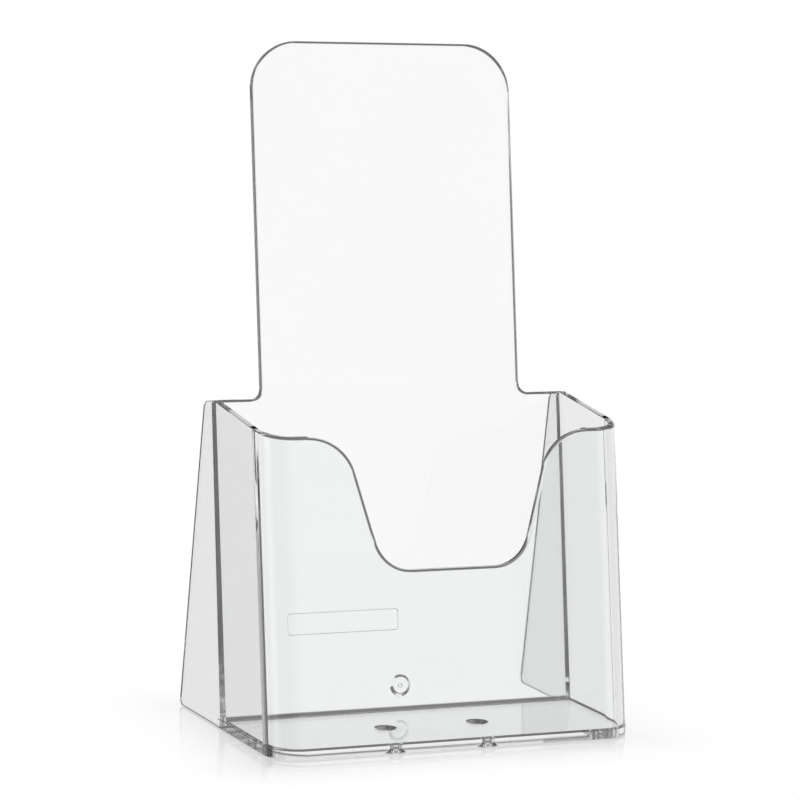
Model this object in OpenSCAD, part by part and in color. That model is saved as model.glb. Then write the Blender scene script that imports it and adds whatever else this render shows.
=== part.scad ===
// Clear one-pocket leaflet rack that stands on a counter or screws down to it.
// X runs across the rack, +Y to the rear and +Z up.
// The origin is on the table, under the middle of the rack's outline.
// Every sub-part meets its neighbours face to face.

/* [Overall] */
// Width over the base plate
overall_w = 110.4; // [104:0.1:130]
// Depth from the base plate's front edge to the heels of the rear legs
overall_d = 73.5; // [68:0.5:86]
// Height of the header tab's front edge above the table
overall_h = 191.2; // [176:0.2:220]

/* [Base plate] */
// Thickness of the base plate
base_t = 2.6; // [2:0.2:4]
// Radius of the base plate's front corners, seen from above
base_corner_r = 9.5; // [7:0.5:11]
// How far the base plate stands out beyond the walls
flange = 0.2; // [0.1:0.1:0.8]
// Depth of the pocket floor, from the base plate's front edge
floor_d = 38.6; // [36:0.2:44]

/* [Walls] */
// Thickness of the front and side walls
wall_t = 2; // [1.6:0.1:3]
// Outer radius of the upright front corners
corner_r = 9.3; // [5:0.1:10]
// Angle by which the front wall leans back
front_lean = 9.6; // [7:0.1:11]
// Height of the front wall's top edge above the table
front_h = 86.3; // [84:0.1:89]

/* [Back panel] */
// Angle by which the back panel leans back
recline = 9.3; // [7:0.1:11]
// Thickness of the back panel at its foot
panel_foot_t = 4.5; // [3.6:0.1:5.5]
// Thickness of the back panel at its shoulders, and of the header tab
panel_top_t = 3.2; // [2.4:0.1:3.5]
// Height of the shoulders above the table
shoulder_h = 91.4; // [90:0.1:96]

/* [Header tab] */
// Width of the header tab
tab_w = 80.5; // [60:0.5:90]
// Radius of the tab's top corners
tab_corner_r = 14; // [8:0.5:20]
// Radius of the fillets where the tab meets the shoulders
neck_r = 3; // [2:0.5:5]

/* [Front cut-out] */
// Distance up the front wall from the base plate to the floor of the cut-out
cut_floor = 47.8; // [40:0.1:52]
// Half the length of the cut-out's straight floor
cut_floor_half = 12.5; // [8:0.5:14]
// Radius of the cut-out's lower corners
cut_floor_r = 11; // [8:0.5:13]
// Distance from the middle at which the top edge starts to turn down into the cut-out
ear_x = 42; // [40:0.5:44]
// Radius with which each ear turns down into the cut-out
ear_r = 14; // [12:0.5:15]

/* [Rear legs] */
// Angle by which each leg's rear edge leans forward
leg_lean = 8.1; // [5:0.1:9]
// Radius of each leg's top rear corner
leg_top_r = 2.5; // [1:0.1:2.8]
// Radius of each leg's heel
leg_heel_r = 2; // [1:0.1:3]

/* [Screw holes] */
// Distance between the two screw holes
hole_pitch = 28.3; // [24:0.1:40]
// Diameter of each screw hole
hole_d = 3.7; // [3:0.1:4.5]
// Diameter of each countersink at the floor
sink_d = 6; // [5.5:0.1:8]
// Depth of each countersink
sink_depth = 1.15; // [0.8:0.05:1.5]
// Distance from the base plate's front edge to the screw holes
hole_y = 20.1; // [16:0.1:24]

/* [Moulding marks] */
// Distance up the back panel from the base plate to the gate mark
gate_up = 6.3; // [5:0.1:10]
// Radius of the gate mark's dish at the surface
dish_r = 3.2; // [2.6:0.1:4]
// Radius of the dish's floor
dish_floor_r = 2.4; // [1.6:0.1:2.4]
// Depth of the dish
dish_depth = 0.8; // [0.3:0.1:1]
// Radius of the gate's stub
stub_r = 0.6; // [0.4:0.1:0.8]
// Width of the plain raised pad on the back panel
pad_w = 34; // [20:1:40]
// Height of the pad
pad_h = 6; // [4:0.5:8]
// How far the pad stands out
pad_t = 0.3; // [0.2:0.1:0.5]
// Distance from the middle of the back panel to the middle of the pad
pad_x = 17; // [12:1:24]
// Distance up the back panel from the base plate to the middle of the pad
pad_up = 25.3; // [20:0.1:40]

/* [Hidden] */
$fn = 96;

// Half the width over the walls.
wall_x = overall_w / 2 - flange;
// Inside of the side walls.
inner_x = wall_x - wall_t;
// Where the flat front wall ends and the rounded corners start.
flat_x = wall_x - corner_r;
// Distance up the front wall at which the ears start: level with the lower corners' centres.
ear_start = cut_floor + cut_floor_r;
// Extra length on shapes that are trimmed by a later cut.
over = 3;

// Directions in the YZ plane: up a slope that leans back by a, and straight back through it.
function up(a) = [sin(a), cos(a)];
function back(a) = [cos(a), -sin(a)];
function unit(v) = v / norm(v);

// Corners of the back panel's section, as [y, z]: front foot, rear foot, rear top, front top.
panel_front_foot = [floor_d, base_t];
panel_rear_foot = [floor_d + panel_foot_t, base_t];
panel_front_top = panel_front_foot + up(recline) * (shoulder_h - base_t) / cos(recline);
panel_rear_top = panel_front_top + back(recline) * panel_top_t;
// Lean of the back panel's rear face, which tapers towards the top.
panel_rise = panel_rear_top - panel_rear_foot;
rear_lean = atan2(panel_rise[0], panel_rise[1]);

// The front wall's outer face starts at the base plate's top, set in by the flange.
front_foot = [flange, base_t];
front_top = front_foot + up(front_lean) * (front_h - base_t) / cos(front_lean);
// The pocket's rim is one plane, from the front wall's top up to the shoulders.
rim_slope = (panel_front_top[1] - front_top[1]) / (panel_front_top[0] - front_top[0]);
function rim_z(y) = front_top[1] + (y - front_top[0]) * rim_slope;

// The line on which each side wall runs into its rounded front corner.
tangent_foot = front_foot + [corner_r / cos(front_lean), 0];
tangent_rise = (rim_z(tangent_foot[0]) - base_t) / (1 - rim_slope * tan(front_lean));
tangent_top = tangent_foot + [tangent_rise * tan(front_lean), tangent_rise];

// Corners of each leg's side outline, as [y, z], before rounding.
leg_toe = [panel_rear_foot[0], 0];
leg_heel = [overall_d - leg_heel_r + leg_heel_r / tan(45 - leg_lean / 2), 0];
leg_top_d = (leg_heel[0] - panel_rear_top[0] - panel_rear_top[1] * tan(leg_lean))
    / (cos(recline) - sin(recline) * tan(leg_lean));
leg_top = panel_rear_top + back(recline) * leg_top_d;

// The cut-out's edge leaves a lower corner and joins an ear on their common tangent.
cut_centre = [cut_floor_half, ear_start];
ear_centre = [ear_x, (front_h - base_t) / cos(front_lean) - ear_r];
between = ear_centre - cut_centre;
turn = atan2(between[1], between[0]) - acos((cut_floor_r + ear_r) / norm(between));
cut_tangent = cut_centre + [cos(turn), sin(turn)] * cut_floor_r;
ear_tangent = ear_centre - [cos(turn), sin(turn)] * ear_r;

// Moves the front edge of the base plate from y = 0 to the front of the outline.
module placed() {
    translate([0, -overall_d / 2, 0])
        children();
}

// Extrudes a [y, z] outline along X, from x0, over width w.
module across(x0, w) {
    translate([x0, 0, 0])
        rotate([90, 0, 90])
            linear_extrude(w)
                children();
}

// Stands an [x, distance up the slope] outline on a point of the YZ plane, leaning back by a.
// The slab's front face passes through the point, and it is t thick.
module leaning_slab(foot, a, t) {
    translate([0, foot[0], foot[1]])
        rotate([90 - a, 0, 0])
            translate([0, 0, -t])
                linear_extrude(t)
                    children();
}

// Keeps what is above the base plate and below the pocket's rim.
module inside_rim() {
    intersection() {
        children();
        across(-wall_x - over, 2 * (wall_x + over))
            polygon([
                [-over, base_t],
                [floor_d, base_t],
                [floor_d, rim_z(floor_d)],
                [-over, rim_z(-over)]
            ]);
    }
}

// The screw holes, straight below and countersunk at the floor.
module screw_holes() {
    for (side = [-1, 1])
        translate([side * hole_pitch / 2, hole_y, 0]) {
            translate([0, 0, -over])
                cylinder(d = hole_d, h = base_t + 2 * over);
            translate([0, 0, base_t - sink_depth])
                cylinder(d1 = hole_d, d2 = sink_d, h = sink_depth);
        }
}

// A flat plate with rounded front corners and a square rear edge.
module base_plate() {
    side_x = overall_w / 2 - base_corner_r;
    color([0.86, 0.9, 0.89])
        placed()
            difference() {
                linear_extrude(base_t)
                    union() {
                        translate([-overall_w / 2, base_corner_r])
                            square([overall_w, panel_rear_foot[0] - base_corner_r]);
                        translate([-side_x, 0])
                            square([2 * side_x, 2 * base_corner_r]);
                        for (side = [-1, 1])
                            translate([side * side_x, base_corner_r])
                                circle(r = base_corner_r);
                    }
                screw_holes();
            }
}

// The U-shaped cut-out, as [x, distance up the front wall].
module cut_out() {
    wide = ear_x + over;
    high = ear_centre[1] + ear_r + 2 * over;
    union() {
        for (side = [-1, 1])
            translate([side * cut_centre[0], cut_centre[1]])
                circle(r = cut_floor_r);
        translate([-cut_floor_half, cut_floor])
            square([2 * cut_floor_half, high - cut_floor]);
        for (side = [0, 1])
            mirror([side, 0])
                difference() {
                    polygon([
                        cut_centre,
                        cut_tangent,
                        ear_tangent,
                        ear_centre,
                        [ear_centre[0], ear_centre[1] + ear_r],
                        [ear_centre[0], high],
                        [cut_centre[0], high]
                    ]);
                    translate(ear_centre)
                        circle(r = ear_r);
                }
    }
}

// The lower part of the front wall, up to where the ears start.
module front_panel() {
    color([0.78, 0.86, 0.9])
        placed()
            inside_rim()
                leaning_slab(front_foot, front_lean, wall_t)
                    difference() {
                        translate([-flat_x, -over])
                            square([2 * flat_x, ear_start + over]);
                        cut_out();
                    }
}

// One of the two upstands beside the cut-out. side is -1 for the left and 1 for the right.
module ear(side) {
    start_x = side < 0 ? -flat_x : 0;
    placed()
        inside_rim()
            leaning_slab(front_foot, front_lean, wall_t)
                difference() {
                    translate([start_x, ear_start])
                        square([flat_x, front_h]);
                    cut_out();
                }
}

module left_ear() {
    color([0.62, 0.78, 0.86])
        ear(-1);
}

module right_ear() {
    color([0.62, 0.78, 0.86])
        ear(1);
}

// A quarter of a tube that leans back with the front wall.
module front_corner(side) {
    quarter_x = side < 0 ? -corner_r : 0;
    placed()
        inside_rim()
            translate([0, front_foot[0], front_foot[1]])
                rotate([-front_lean, 0, 0])
                    translate([side * flat_x, corner_r, -over])
                        linear_extrude(front_h + 4 * over)
                            intersection() {
                                difference() {
                                    circle(r = corner_r);
                                    circle(r = corner_r - wall_t);
                                }
                                translate([quarter_x, -corner_r])
                                    square([corner_r, corner_r]);
                            }
}

module left_front_corner() {
    color([0.9, 0.82, 0.66])
        front_corner(-1);
}

module right_front_corner() {
    color([0.9, 0.82, 0.66])
        front_corner(1);
}

// A flat wall from a rounded front corner to the back panel.
module side_wall(side) {
    start_x = side < 0 ? -wall_x : inner_x;
    placed()
        across(start_x, wall_t)
            polygon([tangent_foot, panel_front_foot, panel_front_top, tangent_top]);
}

module left_side_wall() {
    color([0.7, 0.84, 0.72])
        side_wall(-1);
}

module right_side_wall() {
    color([0.7, 0.84, 0.72])
        side_wall(1);
}

// The neck under the header tab, with a fillet on each side down to the shoulders.
module neck_outline() {
    half = tab_w / 2;
    difference() {
        translate([-half - neck_r, -over])
            square([tab_w + 2 * neck_r, neck_r + over]);
        for (side = [-1, 1])
            translate([side * (half + neck_r), neck_r])
                circle(r = neck_r);
    }
}

// The dish that the gate leaves in the back panel's rear face.
module gate_dish() {
    translate([0, panel_rear_foot[0], panel_rear_foot[1]])
        rotate([90 - rear_lean, 0, 0])
            translate([0, gate_up, 0])
                cylinder(r1 = dish_r, r2 = dish_floor_r, h = dish_depth);
}

// The tapered panel that the leaflets lean on, across the full width, with the tab's neck.
module back_panel() {
    color([0.86, 0.72, 0.74])
        placed()
            difference() {
                union() {
                    across(-wall_x, 2 * wall_x)
                        polygon([
                            panel_front_foot,
                            panel_rear_foot,
                            panel_rear_top,
                            panel_front_top
                        ]);
                    leaning_slab(panel_front_top, recline, panel_top_t)
                        neck_outline();
                }
                gate_dish();
            }
}

// The narrower panel above the shoulders, with rounded top corners.
module header_tab() {
    half = tab_w / 2;
    tab_top = (overall_h - shoulder_h) / cos(recline);
    color([0.74, 0.74, 0.9])
        placed()
            leaning_slab(panel_front_top, recline, panel_top_t)
                union() {
                    translate([-half, neck_r])
                        square([tab_w, tab_top - tab_corner_r - neck_r]);
                    translate([-half + tab_corner_r, neck_r])
                        square([tab_w - 2 * tab_corner_r, tab_top - neck_r]);
                    for (side = [-1, 1])
                        translate([side * (half - tab_corner_r), tab_top - tab_corner_r])
                            circle(r = tab_corner_r);
                }
}

// Half the angle of the corner at p, between its neighbours a and b.
function half_angle(p, a, b) = acos(unit(a - p) * unit(b - p)) / 2;

// The points at which a rounding of radius r leaves the corner at p, and the rounding's centre.
function leaves(p, a, r, half) = p + unit(a - p) * r / tan(half);
function centre(p, a, b, r, half) = p + unit(unit(a - p) + unit(b - p)) * r / sin(half);

// A leg behind the back panel, in line with the side wall, with a rounded heel and top.
module rear_leg(side) {
    start_x = side < 0 ? -wall_x : inner_x;
    heel_half = half_angle(leg_heel, leg_toe, leg_top);
    top_half = half_angle(leg_top, leg_heel, panel_rear_top);
    placed()
        across(start_x, wall_t)
            union() {
                polygon([
                    leg_toe,
                    leaves(leg_heel, leg_toe, leg_heel_r, heel_half),
                    leaves(leg_heel, leg_top, leg_heel_r, heel_half),
                    leaves(leg_top, leg_heel, leg_top_r, top_half),
                    leaves(leg_top, panel_rear_top, leg_top_r, top_half),
                    panel_rear_top,
                    panel_rear_foot
                ]);
                translate(centre(leg_heel, leg_toe, leg_top, leg_heel_r, heel_half))
                    circle(r = leg_heel_r);
                translate(centre(leg_top, leg_heel, panel_rear_top, leg_top_r, top_half))
                    circle(r = leg_top_r);
            }
}

module left_rear_leg() {
    color([0.8, 0.76, 0.6])
        rear_leg(-1);
}

module right_rear_leg() {
    color([0.8, 0.76, 0.6])
        rear_leg(1);
}

// The short stub left where the gate was cut, on the dish's floor.
module gate_stub() {
    color([0.9, 0.6, 0.5])
        placed()
            translate([0, panel_rear_foot[0], panel_rear_foot[1]])
                rotate([90 - rear_lean, 0, 0])
                    translate([0, gate_up, 0])
                        cylinder(r = stub_r, h = dish_depth);
}

// A plain pad, slightly raised on the back panel's rear face.
module blank_name_pad() {
    color([0.6, 0.8, 0.8])
        placed()
            leaning_slab(panel_rear_foot, rear_lean, pad_t)
                translate([-pad_x - pad_w / 2, pad_up - pad_h / 2])
                    square([pad_w, pad_h]);
}

base_plate();
front_panel();
left_ear();
right_ear();
left_front_corner();
right_front_corner();
left_side_wall();
right_side_wall();
back_panel();
header_tab();
left_rear_leg();
right_rear_leg();
gate_stub();
blank_name_pad();
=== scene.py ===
import math

import bmesh
import bpy
import numpy as np
from mathutils import Matrix, Vector


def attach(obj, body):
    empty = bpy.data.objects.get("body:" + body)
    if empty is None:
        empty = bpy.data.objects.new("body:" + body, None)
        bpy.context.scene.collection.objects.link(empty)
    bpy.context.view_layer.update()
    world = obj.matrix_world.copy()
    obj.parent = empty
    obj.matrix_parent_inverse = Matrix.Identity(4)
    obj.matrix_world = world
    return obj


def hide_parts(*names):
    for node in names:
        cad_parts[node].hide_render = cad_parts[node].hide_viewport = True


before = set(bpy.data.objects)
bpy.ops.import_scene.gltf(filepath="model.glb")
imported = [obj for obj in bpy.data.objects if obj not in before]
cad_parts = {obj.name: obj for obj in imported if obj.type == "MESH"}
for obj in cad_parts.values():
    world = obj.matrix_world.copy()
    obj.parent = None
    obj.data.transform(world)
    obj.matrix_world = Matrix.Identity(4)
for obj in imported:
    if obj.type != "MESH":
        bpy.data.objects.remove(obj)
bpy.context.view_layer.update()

# ---------------------------------------------------------------------------
# Sizes of the moulding in millimetres, the same as the CAD part's.
# Y here starts at the base plate's front edge, and pieces_from() moves it to the row frame.
# ---------------------------------------------------------------------------
DEPTH = 73.5
HEIGHT = 191.2
BASE_W, BASE_T, BASE_R = 110.4, 2.6, 9.5
FLANGE, FLOOR_D = 0.2, 38.6
WALL_T, CORNER_R = 2.0, 9.3
FRONT_LEAN, FRONT_H = math.radians(9.6), 86.3
RECLINE, FOOT_T, TOP_T, SHOULDER_H = math.radians(9.3), 4.5, 3.2, 91.4
TAPER_DROP = 2  # how far below the shoulders the rear face's taper ends
TAB_W, TAB_R, NECK_R = 80.5, 14.0, 3.0
CUT_FLOOR, CUT_HALF, CUT_R, EAR_X, EAR_R = 47.8, 12.5, 11.0, 42.0, 14.0
LEG_LEAN, LEG_TOP_R, HEEL_R = math.radians(8.1), 2.5, 2.0
HOLE_PITCH, HOLE_D, SINK_D, SINK_DEPTH, HOLE_Y = 28.3, 3.7, 6.0, 1.15, 20.1
GATE_UP, DISH_R, DISH_FLOOR_R, DISH_DEPTH, STUB_R = 6.3, 3.2, 2.4, 0.8, 0.6
PAD_W, PAD_H, PAD_T, PAD_X, PAD_UP = 34.0, 6.0, 0.3, 17.0, 25.3

WALL_X = BASE_W / 2 - FLANGE
INNER_X = WALL_X - WALL_T
FLAT_X = WALL_X - CORNER_R
EAR_START = CUT_FLOOR + CUT_R


def up(a):
    return np.array([math.sin(a), math.cos(a)])


def back(a):
    return np.array([math.cos(a), -math.sin(a)])


# The back panel's section, as (y, z).
front_foot = np.array([FLOOR_D, BASE_T])
rear_foot = np.array([FLOOR_D + FOOT_T, BASE_T])
front_top = front_foot + up(RECLINE) * (SHOULDER_H - BASE_T) / math.cos(RECLINE)
rear_top = front_top + back(RECLINE) * TOP_T
taper_top = rear_top - up(RECLINE) * TAPER_DROP
REAR_LEAN = math.atan2(*(taper_top - rear_foot))
# The front wall's outer face, and the plane of the pocket's rim.
wall_foot = np.array([FLANGE, BASE_T])
wall_top = wall_foot + up(FRONT_LEAN) * (FRONT_H - BASE_T) / math.cos(FRONT_LEAN)
RIM = (front_top[1] - wall_top[1]) / (front_top[0] - wall_top[0])
WALL_S = (FRONT_H - BASE_T) / math.cos(FRONT_LEAN)
TAB_S = (HEIGHT - SHOULDER_H) / math.cos(RECLINE)
SHOULDER_S = (SHOULDER_H - BASE_T) / math.cos(RECLINE)
heel = np.array([DEPTH - HEEL_R + HEEL_R / math.tan(math.pi / 4 - LEG_LEAN / 2), 0.0])
leg_d = (heel[0] - rear_top[0] - rear_top[1] * math.tan(LEG_LEAN)) / (
    math.cos(RECLINE) - math.sin(RECLINE) * math.tan(LEG_LEAN)
)
leg_top = rear_top + back(RECLINE) * leg_d


def rim_z(y):
    return wall_top[1] + (y - wall_top[0]) * RIM


# ---------------------------------------------------------------------------
# Small mesh helpers. Solids are made in millimetres.
# ---------------------------------------------------------------------------
def arc(cx, cy, r, a0, a1, n):
    """n + 1 points on an arc, angles in degrees."""
    return [
        (cx + r * math.cos(math.radians(a)), cy + r * math.sin(math.radians(a)))
        for a in np.linspace(a0, a1, n + 1)
    ]


def rounded(points, radii, n=12):
    """The outline with each corner that has a radius rounded off."""
    out = []
    count = len(points)
    for i, p in enumerate(points):
        p = np.array(p, float)
        if not radii[i]:
            out.append(tuple(p))
            continue
        a = np.array(points[i - 1], float) - p
        b = np.array(points[(i + 1) % count], float) - p
        a, b = a / np.linalg.norm(a), b / np.linalg.norm(b)
        half = math.acos(float(np.clip(a @ b, -1, 1))) / 2
        c = p + (a + b) / np.linalg.norm(a + b) * radii[i] / math.sin(half)
        t0, t1 = p + a * radii[i] / math.tan(half), p + b * radii[i] / math.tan(half)
        s0 = math.atan2(*(t0 - c)[::-1])
        s1 = math.atan2(*(t1 - c)[::-1])
        turn = (s1 - s0 + math.pi) % (2 * math.pi) - math.pi
        for k in range(n + 1):
            ang = s0 + turn * k / n
            out.append((c[0] + radii[i] * math.cos(ang), c[1] + radii[i] * math.sin(ang)))
    return out


def make(name, verts, faces):
    me = bpy.data.meshes.new(name)
    me.from_pydata([tuple(v) for v in verts], [], faces)
    bm = bmesh.new()
    bm.from_mesh(me)
    bmesh.ops.recalc_face_normals(bm, faces=bm.faces)
    bm.to_mesh(me)
    bm.free()
    ob = bpy.data.objects.new(name, me)
    bpy.context.scene.collection.objects.link(ob)
    return ob


def prism(name, outline, low, high):
    """A closed solid between low(u, v) and high(u, v), which place each outline point."""
    n = len(outline)
    verts = [low(u, v) for u, v in outline] + [high(u, v) for u, v in outline]
    faces = [list(range(n))[::-1], [n + i for i in range(n)]]
    faces += [[i, (i + 1) % n, n + (i + 1) % n, n + i] for i in range(n)]
    return make(name, verts, faces)


def across(name, outline, x0, x1):
    """A (y, z) outline extruded along X."""
    return prism(name, outline, lambda y, z: (x0, y, z), lambda y, z: (x1, y, z))


def slope_point(foot, lean, x, s, n):
    """A point x across, s up a slope that leans back, and n behind its front face."""
    y, z = foot + up(lean) * s + back(lean) * n
    return (x, y, z)


def slab(name, foot, lean, outline, n0, n1):
    """An (x, s) outline on a leaning slope, from n0 to n1 behind the slope's face."""
    return prism(
        name,
        outline,
        lambda x, s: slope_point(foot, lean, x, s, n0),
        lambda x, s: slope_point(foot, lean, x, s, n1),
    )


def combine(target, other, how, keep=False):
    mod = target.modifiers.new("cut", "BOOLEAN")
    mod.operation = how
    mod.solver = "MANIFOLD"
    mod.object = other
    bake(target)
    if not keep:
        bpy.data.objects.remove(other)


def bake(ob):
    """Replaces the object's mesh with what its modifiers make of it."""
    dg = bpy.context.evaluated_depsgraph_get()
    dg.update()
    me = bpy.data.meshes.new_from_object(
        ob.evaluated_get(dg), preserve_all_data_layers=True, depsgraph=dg
    )
    ob.modifiers.clear()
    ob.data = me


# ---------------------------------------------------------------------------
# The moulding, first as one body with sharp edges.
# ---------------------------------------------------------------------------
SINK = 1.0  # how far parts run into one another before they are joined
EDGE = 0.35  # radius on the moulding's edges
RIM_EDGE = 0.95  # radius on the edges of the cut-out, the shoulders and the header tab
LEDGE_EDGE = 0.09  # radius on the base plate's ledge and where the walls stand on it
INNER_EDGE = 0.1  # radius in the other inner corners
PAD_EDGE = 0.1  # radius round the plain pad
FLOOR_FILLET = 0.5  # radius where the side walls and back panel meet the pocket's floor


CORNER_STEPS = 48  # sides of a quarter turn at the front corners


def side_plate(side):
    """Side wall, the end of the back panel and the rear leg, in one plane."""
    x0, x1 = (-WALL_X, -INNER_X) if side < 0 else (INNER_X, WALL_X)
    tangent = wall_foot + np.array([CORNER_R / math.cos(FRONT_LEAN), 0])
    low = tangent - up(FRONT_LEAN) * SINK / math.cos(FRONT_LEAN)
    rise = (rim_z(tangent[0]) - BASE_T) / (1 - RIM * math.tan(FRONT_LEAN))
    high = tangent + np.array([rise * math.tan(FRONT_LEAN), rise])
    points = [
        low,
        (rear_foot[0] - SINK, BASE_T - SINK),
        (rear_foot[0] - SINK, 0),
        heel,
        leg_top,
        front_top,
        high,
    ]
    return across(
        "side", rounded(points, [0, 0, 0, HEEL_R, LEG_TOP_R, 0, 0], 10), x0, x1
    )


def front_band():
    """The front wall with its rounded corners, up to the rim, as a strip of quads."""
    steps = CORNER_STEPS
    outer = (
        [(-WALL_X, CORNER_R)]
        + arc(-FLAT_X, CORNER_R, CORNER_R, 180, 270, steps)[1:]
        + arc(FLAT_X, CORNER_R, CORNER_R, 270, 360, steps)
    )
    r = CORNER_R - WALL_T
    inner = (
        [(-INNER_X, CORNER_R)]
        + arc(-FLAT_X, CORNER_R, r, 180, 270, steps)[1:]
        + arc(FLAT_X, CORNER_R, r, 270, 360, steps)
    )

    def ends(x, n):
        y, z = wall_foot + back(FRONT_LEAN) * n
        t = math.tan(FRONT_LEAN)
        low_z = BASE_T - SINK
        high_z = (rim_z(y) - RIM * t * z) / (1 - RIM * t)
        return (x, y + (low_z - z) * t, low_z), (x, y + (high_z - z) * t, high_z)

    n = len(outer)
    rows = [ends(*p) for p in outer] + [ends(*p) for p in inner]
    verts = [r[0] for r in rows] + [r[1] for r in rows]
    o, i, ot, it = 0, n, 2 * n, 3 * n
    faces = []
    for k in range(n - 1):
        faces.append([o + k, o + k + 1, ot + k + 1, ot + k])
        faces.append([i + k + 1, i + k, it + k, it + k + 1])
        faces.append([ot + k, ot + k + 1, it + k + 1, it + k])
        faces.append([o + k + 1, o + k, i + k, i + k + 1])
    for k in (0, n - 1):
        faces.append([o + k, ot + k, it + k, i + k])
    return make("front_band", verts, faces)


def cut_outline():
    """Half outlines of the scoop, as (x, s) on the front wall, mirrored and joined."""
    c, e = np.array([CUT_HALF, EAR_START]), np.array([EAR_X, WALL_S - EAR_R])
    d = e - c
    turn = math.degrees(
        math.atan2(d[1], d[0]) - math.acos((CUT_R + EAR_R) / np.linalg.norm(d))
    )
    half = arc(*c, CUT_R, -90, turn, 24) + arc(*e, EAR_R, 180 + turn, 90, 24)
    half.append((half[-1][0], WALL_S + 8))
    return half + [(-x, s) for x, s in reversed(half)]


def back_outline():
    """Back panel, neck and header tab, as (x, s) on the panel's front face."""
    half, wide = TAB_W / 2, INNER_X + SINK
    top = SHOULDER_S + TAB_S
    right = [(wide, -SINK), (wide, SHOULDER_S)]
    right += arc(half + NECK_R, SHOULDER_S + NECK_R, NECK_R, 270, 180, 10)
    right += arc(half - TAB_R, top - TAB_R, TAB_R, 0, 90, 32)
    return right + [(-x, s) for x, s in reversed(right)]


def moulding():
    body = prism(
        "moulding",
        rounded(
            [
                (-BASE_W / 2, 0),
                (BASE_W / 2, 0),
                (BASE_W / 2, rear_foot[0]),
                (-BASE_W / 2, rear_foot[0]),
            ],
            [BASE_R, BASE_R, 0, 0],
            CORNER_STEPS,
        ),
        lambda x, y: (x, y, 0),
        lambda x, y: (x, y, BASE_T),
    )
    band = front_band()
    combine(
        band, slab("cut", wall_foot, FRONT_LEAN, cut_outline(), -4, WALL_T + 4), "DIFFERENCE"
    )
    combine(body, band, "UNION")
    for side in (-1, 1):
        combine(body, side_plate(side), "UNION")
    combine(body, slab("back", front_foot, RECLINE, back_outline(), 0, TOP_T), "UNION")
    wedge = [
        front_foot + back(RECLINE) * SINK - up(RECLINE) * SINK,
        rear_foot - up(REAR_LEAN) * SINK,
        taper_top,
        taper_top - back(RECLINE) * SINK,
    ]
    combine(body, across("wedge", wedge, -INNER_X - SINK, INNER_X + SINK), "UNION")
    for side in (-1, 1):
        combine(body, screw_hole(side * HOLE_PITCH / 2), "DIFFERENCE")
    gate_mark(body)
    name_pad(body)
    return body


def turned(name, rows, place, n=48):
    """A closed solid of revolution. rows are (radius, height), and place puts a local point."""
    verts, faces = [], []
    for r, h in rows:
        verts += [
            place(r * math.cos(a), r * math.sin(a), h)
            for a in np.linspace(0, 2 * math.pi, n + 1)[:-1]
        ]
    for k in range(len(rows) - 1):
        b = k * n
        faces += [[b + i, b + (i + 1) % n, b + n + (i + 1) % n, b + n + i] for i in range(n)]
    faces += [list(range(n))[::-1], [(len(rows) - 1) * n + i for i in range(n)]]
    return make(name, verts, faces)


def screw_hole(x):
    rows = [
        (HOLE_D / 2, -2),
        (HOLE_D / 2, BASE_T - SINK_DEPTH),
        (SINK_D / 2, BASE_T),
        (SINK_D / 2, BASE_T + 0.6),
    ]
    return turned("hole", rows, lambda u, v, h: (x + u, HOLE_Y + v, h))


def on_rear(x, s, n):
    """A point on the back panel's rear face: x across, s up it and n out of it."""
    return slope_point(rear_foot, REAR_LEAN, x, s, n)


def gate_mark(body):
    """The dish round the gate, with the stub that is left in its middle."""

    def place(u, v, h):
        return on_rear(u, GATE_UP + v, h)

    d = DISH_DEPTH
    dish = [
        (DISH_FLOOR_R - 0.25, -d),
        (DISH_FLOOR_R - 0.07, -d + 0.03),
        (DISH_FLOOR_R + 0.08, -d + 0.11),
        (DISH_R - 0.08, -0.09),
        (DISH_R, 0),
        (DISH_R + 0.1, 0.3),
    ]
    combine(body, turned("dish", dish, place, 72), "DIFFERENCE")
    stub = [
        (STUB_R, -d - 0.4),
        (STUB_R, -0.14),
        (STUB_R - 0.04, -0.05),
        (STUB_R - 0.14, 0),
    ]
    combine(body, turned("stub", stub, place, 32), "UNION")


def name_pad(body):
    """A plain raised pad on the back panel's rear face."""
    x0, x1 = -PAD_X - PAD_W / 2, -PAD_X + PAD_W / 2
    s0, s1 = PAD_UP - PAD_H / 2, PAD_UP + PAD_H / 2
    corners = [(x0, s0), (x1, s0), (x1, s1), (x0, s1)]
    outline = rounded(corners, [0.8] * 4, 8)
    combine(body, slab("pad", rear_foot, REAR_LEAN, outline, -SINK, PAD_T), "UNION")


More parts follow.
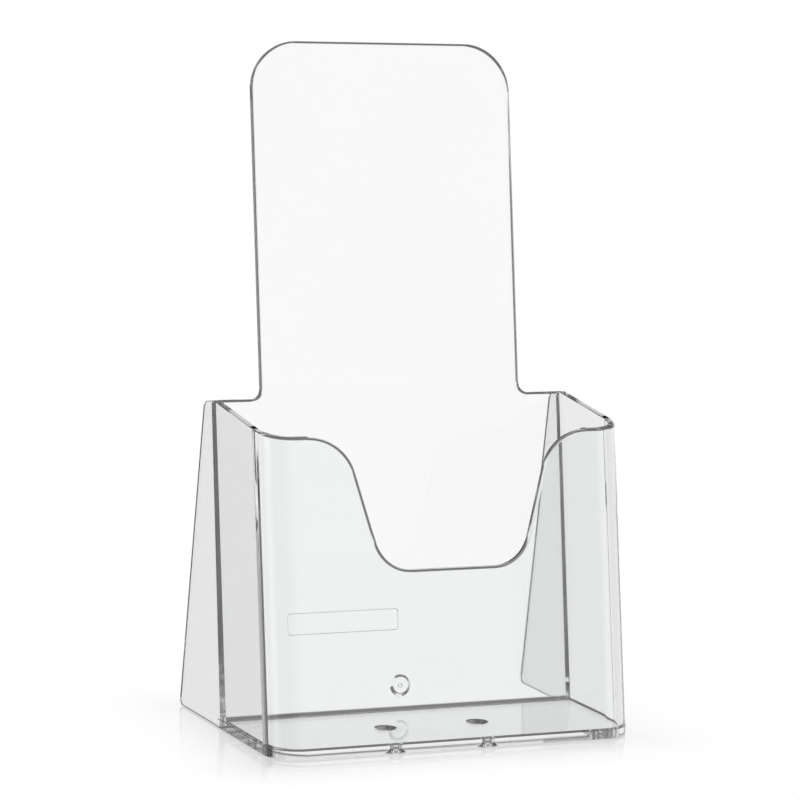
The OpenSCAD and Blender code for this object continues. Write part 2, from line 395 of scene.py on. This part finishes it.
def edge_radius(p, hollow):
    """The radius of the moulding's edge at p. hollow is True where two faces meet inwards."""
    x, y, z = p
    rear = np.array([y, z]) - rear_foot
    s, n = rear @ up(REAR_LEAN), rear @ back(REAR_LEAN)
    if math.hypot(x, s - GATE_UP) < DISH_R + 0.2 and abs(n) < 1:
        return 0
    if abs(x + PAD_X) < PAD_W / 2 + 0.1 and abs(s - PAD_UP) < PAD_H / 2 + 0.1 and abs(n) < 1:
        return PAD_EDGE
    if abs(x) > WALL_X - 0.1 and abs(y - rear_foot[0]) < 0.01 and z < BASE_T + 0.01:
        return LEDGE_EDGE
    if abs(z - BASE_T) < 0.01 and y < rear_foot[0] + 0.01:
        centre_y = FLANGE + CORNER_R / math.cos(FRONT_LEAN)
        if y < FLANGE + 0.5 or abs(x) > WALL_X - 0.1:
            return LEDGE_EDGE
        if math.hypot(max(abs(x) - FLAT_X, 0), centre_y - y) > CORNER_R - 0.6 and y < centre_y:
            return LEDGE_EDGE
        if hollow:  # the fillet fades out round the front corners
            share = min(max((y - FLANGE - WALL_T) / (centre_y - FLANGE - WALL_T), 0), 1)
            return INNER_EDGE + (FLOOR_FILLET - INNER_EDGE) * share
    if hollow:
        return INNER_EDGE
    panel = np.array([y, z]) - front_foot
    ahead = panel @ back(RECLINE)
    if panel @ up(RECLINE) > SHOULDER_S - 0.05 and abs(x) < INNER_X - 0.5:
        return RIM_EDGE
    if ahead < -0.1 and z > BASE_T + 5:  # the rim's radius shrinks round the front corners
        n = (np.array([y, z]) - wall_foot) @ back(FRONT_LEAN)
        share = min(max((n - WALL_T) / (CORNER_R - WALL_T), 0), 1)
        return RIM_EDGE + (EDGE - RIM_EDGE) * share
    return EDGE


def round_edges(ob):
    """Rounds every sharp edge, as a mould does."""
    bm = bmesh.new()
    bm.from_mesh(ob.data)
    weight = bm.edges.layers.float.new("bevel_weight_edge")
    for e in bm.edges:
        if e.calc_face_angle(0) > math.radians(25):
            middle = (e.verts[0].co + e.verts[1].co) / 2
            e[weight] = edge_radius(middle, not e.is_convex) / RIM_EDGE
    bm.to_mesh(ob.data)
    bm.free()
    mod = ob.modifiers.new("edges", "BEVEL")
    mod.limit_method = "WEIGHT"
    mod.width = RIM_EDGE
    mod.segments = 4
    mod.use_clamp_overlap = False
    mod.miter_outer = "MITER_ARC"
    bake(ob)


def tidy(ob):
    """Joins faces that lie in one plane, so that only real edges are left."""
    bm = bmesh.new()
    bm.from_mesh(ob.data)
    bmesh.ops.remove_doubles(bm, verts=bm.verts, dist=1e-4)
    bmesh.ops.dissolve_limit(
        bm, angle_limit=math.radians(0.2), verts=bm.verts, edges=bm.edges
    )
    bm.to_mesh(ob.data)
    bm.free()


def split_at(bm, point, normal):
    """Adds an edge loop where a plane, given in the YZ plane, crosses the moulding."""
    bmesh.ops.bisect_plane(
        bm,
        geom=bm.verts[:] + bm.edges[:] + bm.faces[:],
        dist=1e-5,
        plane_co=point,
        plane_no=normal,
    )


JOIN = FLOOR_FILLET + 0.05  # a boundary keeps this clear of the edge it follows


def piece_of(p):
    """The name of the piece that a point of the moulding's skin belongs to."""
    x, yz = p[0], np.array([p[1], p[2]])
    side = "left" if x < 0 else "right"
    s = (yz - front_foot) @ up(RECLINE)
    if s > SHOULDER_S + NECK_R:
        return "header_tab"
    s, n = (yz - rear_foot) @ up(REAR_LEAN), (yz - rear_foot) @ back(REAR_LEAN)
    if math.hypot(x, s - GATE_UP) < STUB_R + 0.01 and -DISH_DEPTH + 0.01 < n < 1:
        return "gate_stub"
    if abs(x + PAD_X) < PAD_W / 2 + 0.01 and abs(s - PAD_UP) < PAD_H / 2 + 0.01:
        if 0.005 < n < 1:
            return "blank_name_pad"
    if n > JOIN and yz[0] > rear_foot[0] + JOIN:
        return side + "_rear_leg"
    if yz[1] < BASE_T + JOIN and yz[0] < rear_foot[0] + JOIN:
        return "base_plate"
    if (yz - front_foot) @ back(RECLINE) > -JOIN:
        return "back_panel"
    n, s = (yz - wall_foot) @ back(FRONT_LEAN), (yz - wall_foot) @ up(FRONT_LEAN)
    if n > CORNER_R:
        return side + "_side_wall"
    if abs(x) > FLAT_X:
        return side + "_front_corner"
    return "front_panel" if s < EAR_START else side + "_ear"


def pieces_from(ob):
    """Divides the finished skin into named pieces that share their border edges exactly."""
    me = ob.data
    normals = np.zeros(len(me.loops) * 3, np.float32)
    me.corner_normals.foreach_get("vector", normals)
    normals = normals.reshape(-1, 3)
    groups = {}
    for poly in me.polygons:
        groups.setdefault(piece_of(poly.center), []).append(poly)
    made = {}
    for name in sorted(groups):
        index, verts, faces, corner = {}, [], [], []
        for poly in groups[name]:
            face = []
            for loop, v in zip(poly.loop_indices, poly.vertices):
                if v not in index:
                    index[v] = len(verts)
                    x, y, z = me.vertices[v].co
                    verts.append((x / 1000, (y - DEPTH / 2) / 1000, z / 1000))
                face.append(index[v])
                corner.append(tuple(normals[loop]))
            faces.append(face)
        new = bpy.data.meshes.new(name + "_moulding")
        new.from_pydata(verts, [], faces)
        new.shade_smooth()
        new.normals_split_custom_set(corner)
        piece = bpy.data.objects.new(name + "_moulding", new)
        bpy.context.scene.collection.objects.link(piece)
        made[name] = piece
    bpy.data.objects.remove(ob)
    return made


body = moulding()
tidy(body)
round_edges(body)

bm = bmesh.new()
bm.from_mesh(body.data)
tab_foot = front_foot + up(RECLINE) * (SHOULDER_S + NECK_R)
ahead = front_foot - back(RECLINE) * JOIN
behind = rear_foot + back(REAR_LEAN) * JOIN
ear_foot = wall_foot + up(FRONT_LEAN) * EAR_START
tangent = wall_foot + back(FRONT_LEAN) * CORNER_R
split_at(bm, (0, *tab_foot), (0, *up(RECLINE)))
split_at(bm, (0, *ahead), (0, *back(RECLINE)))
split_at(bm, (0, *behind), (0, *back(REAR_LEAN)))
split_at(bm, (0, *ear_foot), (0, *up(FRONT_LEAN)))
split_at(bm, (0, *tangent), (0, *back(FRONT_LEAN)))
split_at(bm, (0, 0, BASE_T + JOIN), (0, 0, 1))
split_at(bm, (0, rear_foot[0] + JOIN, 0), (0, 1, 0))
for x in (-FLAT_X, FLAT_X):
    split_at(bm, (x, 0, 0), (1, 0, 0))
bm.to_mesh(body.data)
bm.free()
body.data.shade_smooth()
mod = body.modifiers.new("normals", "WEIGHTED_NORMAL")
mod.mode = "FACE_AREA"
mod.weight = 100
bake(body)
made = pieces_from(body)

# ---------------------------------------------------------------------------
# Material
# ---------------------------------------------------------------------------
def link(nt, a, b):
    nt.links.new(a, b)


# Light that is caught inside a wall zigzags along it and slowly loses strength. These are
# the shares it keeps at each turn, in most pieces and in the base plate.
KEPT, BASE_KEPT = 0.88, 0.95


def clear_plastic(name, tint_and_shade, blur, keeps, seed):
    """Clear polystyrene with a faint uneven colour and haze. Its given colour carries the
    plastic's faint green and a painted shade that differs from piece to piece. blur is its least
    roughness.
    """
    mat = bpy.data.materials.new(name)
    mat.use_nodes = True
    nt = mat.node_tree
    shader = nt.nodes["Principled BSDF"]
    shader.inputs["IOR"].default_value = 1.59
    shader.inputs["Transmission Weight"].default_value = 1.0
    where = nt.nodes.new("ShaderNodeTexCoord")
    place = nt.nodes.new("ShaderNodeMapping")
    place.inputs["Location"].default_value = (seed, seed * 0.7, 0)
    link(nt, where.outputs["Object"], place.inputs["Vector"])
    cloud = nt.nodes.new("ShaderNodeTexNoise")
    cloud.inputs["Scale"].default_value = 18
    cloud.inputs["Detail"].default_value = 3
    link(nt, place.outputs["Vector"], cloud.inputs["Vector"])
    ramp = nt.nodes.new("ShaderNodeValToRGB")
    ramp.color_ramp.elements[0].position = 0.3
    ramp.color_ramp.elements[0].color = (*[c * 0.994 for c in tint_and_shade], 1)
    ramp.color_ramp.elements[1].position = 0.7
    ramp.color_ramp.elements[1].color = (*tint_and_shade, 1)
    link(nt, cloud.outputs["Fac"], ramp.inputs["Fac"])
    path = nt.nodes.new("ShaderNodeLightPath")
    kept = nt.nodes.new("ShaderNodeMath")
    kept.operation = "POWER"
    kept.inputs[0].default_value = keeps
    link(nt, path.outputs["Glossy Depth"], kept.inputs[1])
    shade = nt.nodes.new("ShaderNodeMix")
    shade.data_type = "RGBA"
    shade.blend_type = "MULTIPLY"
    shade.inputs["Factor"].default_value = 1.0
    link(nt, ramp.outputs["Color"], shade.inputs[6])
    link(nt, kept.outputs[0], shade.inputs[7])
    link(nt, shade.outputs[2], shader.inputs["Base Color"])
    haze = nt.nodes.new("ShaderNodeMapRange")
    haze.inputs["From Min"].default_value = 0.35
    haze.inputs["From Max"].default_value = 0.75
    haze.inputs["To Min"].default_value = blur
    haze.inputs["To Max"].default_value = blur + 0.02
    link(nt, cloud.outputs["Fac"], haze.inputs["Value"])
    link(nt, haze.outputs["Result"], shader.inputs["Roughness"])
    return mat


# Colour of each piece, in red, green and blue. Each is the plastic's faint green with painted
# shade on top: every piece is set darker or lighter to stand for how light falls on it, so the
# right rear leg is darker than the left.
PIECE_TINT_AND_SHADE = {
    "header_tab": (0.985, 0.985, 0.985),
    "back_panel": (0.972, 0.981, 0.973),
    "base_plate": (0.962, 0.972, 0.966),
    "left_side_wall": (0.985, 0.993, 0.988),
    "right_side_wall": (0.985, 0.993, 0.988),
    "left_rear_leg": (0.99, 0.995, 0.992),
    "right_rear_leg": (0.96, 0.968, 0.963),
}
# The colour of the other pieces, with its painted shade; the pieces above are set lighter or
# darker than it.
CLEAR = (0.962, 0.975, 0.964)
# Roughness, which blurs what is seen after many turns inside a piece.
BLUR = {"base_plate": 0.04, "back_panel": 0.045}
LEAST_BLUR = 0.02
for i, (name, piece) in enumerate(made.items()):
    # each piece's colour holds its own painted shade
    tint_and_shade = PIECE_TINT_AND_SHADE.get(name, CLEAR)
    keeps = BASE_KEPT if name == "base_plate" else KEPT
    blur = BLUR.get(name, LEAST_BLUR)
    piece.data.materials.append(clear_plastic(name + "_plastic", tint_and_shade, blur, keeps, i * 3.1))
    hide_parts(name)
    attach(piece, "root")
    piece.visible_shadow = False

# ---------------------------------------------------------------------------
# Stage: a glossy white table in a bright field. White cards stand where each camera
# looks, and the room between them is dark, which is what draws the plastic's edges.
# ---------------------------------------------------------------------------
TABLE_GLOSS = 0.4  # how strongly the table reflects right beside the rack
GLOSS_REACH = 0.032  # metres from the base over which that fades out
# Tones of what stands round the rack.
DARK, SIDE_ROOM, RIGHT_ROOM, FRONT_CARD = 0.14, 0.32, 0.85, 0.66
CEILING, FLOOR_BELOW = 0.3, 1.0


def maths(nt, how, *values, clamp=False):
    node = nt.nodes.new("ShaderNodeMath")
    node.operation = how
    node.use_clamp = clamp
    for socket, v in zip(node.inputs, values):
        if isinstance(v, (int, float)):
            socket.default_value = v
        else:
            link(nt, v, socket)
    return node.outputs[0]


bpy.ops.mesh.primitive_plane_add(size=12, location=(0, 0, -0.0001))
floor = bpy.context.object
floor.name = "table_top"
mat = bpy.data.materials.new("white_table")
mat.use_nodes = True
nt = mat.node_tree
nt.nodes.clear()
out = nt.nodes.new("ShaderNodeOutputMaterial")
path = nt.nodes.new("ShaderNodeLightPath")
clear = nt.nodes.new("ShaderNodeBsdfTransparent")
glow = nt.nodes.new("ShaderNodeEmission")
gloss = nt.nodes.new("ShaderNodeBsdfGlossy")
gloss.inputs["Roughness"].default_value = 0.005
where = nt.nodes.new("ShaderNodeTexCoord")
split = nt.nodes.new("ShaderNodeSeparateXYZ")
link(nt, where.outputs["Object"], split.inputs["Vector"])
beyond = [
    maths(nt, "MAXIMUM", maths(nt, "SUBTRACT", maths(nt, "ABSOLUTE", split.outputs[a]), half), 0.0)
    for a, half in (("X", BASE_W / 2000), ("Y", DEPTH / 2000))
]
away = maths(
    nt,
    "SQRT",
    maths(nt, "ADD", *[maths(nt, "MULTIPLY", b, b) for b in beyond]),
)
near = maths(nt, "SUBTRACT", 1.0, maths(nt, "DIVIDE", away, GLOSS_REACH, clamp=True))
near = maths(nt, "MULTIPLY", near, near)
sheen = nt.nodes.new("ShaderNodeMixShader")
link(nt, maths(nt, "MULTIPLY", near, TABLE_GLOSS), sheen.inputs["Fac"])
link(nt, glow.outputs[0], sheen.inputs[1])
link(nt, gloss.outputs[0], sheen.inputs[2])
seen = nt.nodes.new("ShaderNodeMixShader")
link(nt, path.outputs["Is Camera Ray"], seen.inputs["Fac"])
link(nt, clear.outputs[0], seen.inputs[1])
link(nt, sheen.outputs[0], seen.inputs[2])
link(nt, seen.outputs[0], out.inputs["Surface"])
floor.data.materials.append(mat)

world = bpy.data.worlds.new("studio")
bpy.context.scene.world = world
world.use_nodes = True
nt = world.node_tree
sky = nt.nodes["Background"]
where = nt.nodes.new("ShaderNodeTexCoord")
split = nt.nodes.new("ShaderNodeSeparateXYZ")
link(nt, where.outputs["Generated"], split.inputs["Vector"])
heading = maths(
    nt,
    "ARCTAN2",
    split.outputs["X"],
    maths(nt, "MULTIPLY", split.outputs["Y"], -1.0),
)
round_about = maths(nt, "ADD", maths(nt, "DIVIDE", heading, 2 * math.pi), 0.5)


def tone_ramp(value, stops):
    ramp = nt.nodes.new("ShaderNodeValToRGB")
    elements = ramp.color_ramp.elements
    for k, (at, tone) in enumerate(stops):
        e = elements[k] if k < 2 else elements.new(at)
        e.position = at
        e.color = (tone, tone, tone, 1)
    link(nt, value, ramp.inputs["Fac"])
    return ramp.outputs["Color"]


def blend(value, a, b):
    mix = nt.nodes.new("ShaderNodeMix")
    mix.data_type = "RGBA"
    link(nt, value, mix.inputs["Factor"])
    link(nt, a, mix.inputs[6])
    link(nt, b, mix.inputs[7])
    return mix.outputs[2]


# Tones by heading in degrees, from straight behind the rack, round by its left side. LOW
# is what lies about level, HIGH is what stands above it, and DEEP is what lies well below.
LOW = [
    (-180, 1.0), (-171, 1.0), (-164, SIDE_ROOM), (-146, SIDE_ROOM), (-141, 1.0),
    (-127, 1.0), (-121, DARK), (-104, DARK), (-98, 1.0), (-82, 1.0), (-75, DARK),
    (-30, DARK), (14, FRONT_CARD), (34, FRONT_CARD), (38, 1.0), (53, 1.0),
    (60, RIGHT_ROOM), (120, RIGHT_ROOM), (132, 1.0), (180, 1.0),
]
HIGH = [
    (-180, DARK), (-164, SIDE_ROOM), (-146, SIDE_ROOM), (-130, DARK), (-30, DARK),
    (14, FRONT_CARD), (34, FRONT_CARD), (60, RIGHT_ROOM), (100, RIGHT_ROOM), (130, DARK),
    (180, DARK),
]

DEEP = [
    (-180, DARK), (-146, DARK), (-141, 1.0), (-127, 1.0), (-121, DARK), (34, DARK),
    (38, 1.0), (53, 1.0), (60, DARK), (180, DARK),
]


def around(stops):
    return tone_ramp(round_about, [((a + 180) / 360, tone) for a, tone in stops])


def at_height(*stops):
    """A ramp over the direction's height, given from -1, straight down, to 1."""
    return tone_ramp(height, [((z + 1) / 2, tone) for z, tone in stops])


height = maths(nt, "MULTIPLY_ADD", split.outputs["Z"], 0.5, 0.5)
upper = blend(at_height((0.23, 0.0), (0.3, 1.0)), around(LOW), around(HIGH))
cards = blend(at_height((-0.3, 1.0), (-0.24, 0.0)), upper, around(DEEP))
overhead = at_height((-0.5, FLOOR_BELOW), (0.5, CEILING))
room = blend(at_height((-0.85, 1.0), (-0.65, 0.0), (0.4, 0.0), (0.55, 1.0)), cards, overhead)
white = nt.nodes.new("ShaderNodeRGB")
white.outputs[0].default_value = (1, 1, 1, 1)
path = nt.nodes.new("ShaderNodeLightPath")
link(nt, blend(path.outputs["Is Camera Ray"], room, white.outputs[0]), sky.inputs["Color"])

# ---------------------------------------------------------------------------
# Camera
# ---------------------------------------------------------------------------
AZ, EL, ROLL = (math.radians(a) for a in (-24.383, 8.161, 1.995))
toward = Vector(
    (math.sin(AZ) * math.cos(EL), -math.cos(AZ) * math.cos(EL), math.sin(EL))
)
right = (-toward).cross(Vector((0, 0, 1))).normalized()
upward = right.cross(-toward)
cam_x = right * math.cos(ROLL) + upward * math.sin(ROLL)
cam_y = upward * math.cos(ROLL) - right * math.sin(ROLL)
lens = bpy.data.cameras.new("camera")
camera = bpy.data.objects.new("camera", lens)
bpy.context.scene.collection.objects.link(camera)
turn = Matrix((cam_x, cam_y, toward)).transposed().to_4x4()
EYE = (-0.416469, -0.866707 - DEPTH / 2000, 0.229039)
camera.matrix_world = Matrix.Translation(EYE) @ turn
lens.sensor_width = 36
lens.lens = 160.4
lens.shift_x, lens.shift_y = 0.00767, 0.0253
bpy.context.scene.camera = camera

scene = bpy.context.scene
scene.view_settings.view_transform = "Standard"
scene.cycles.max_bounces = 64
scene.cycles.transmission_bounces = 64
scene.cycles.glossy_bounces = 64
scene.cycles.transparent_max_bounces = 16
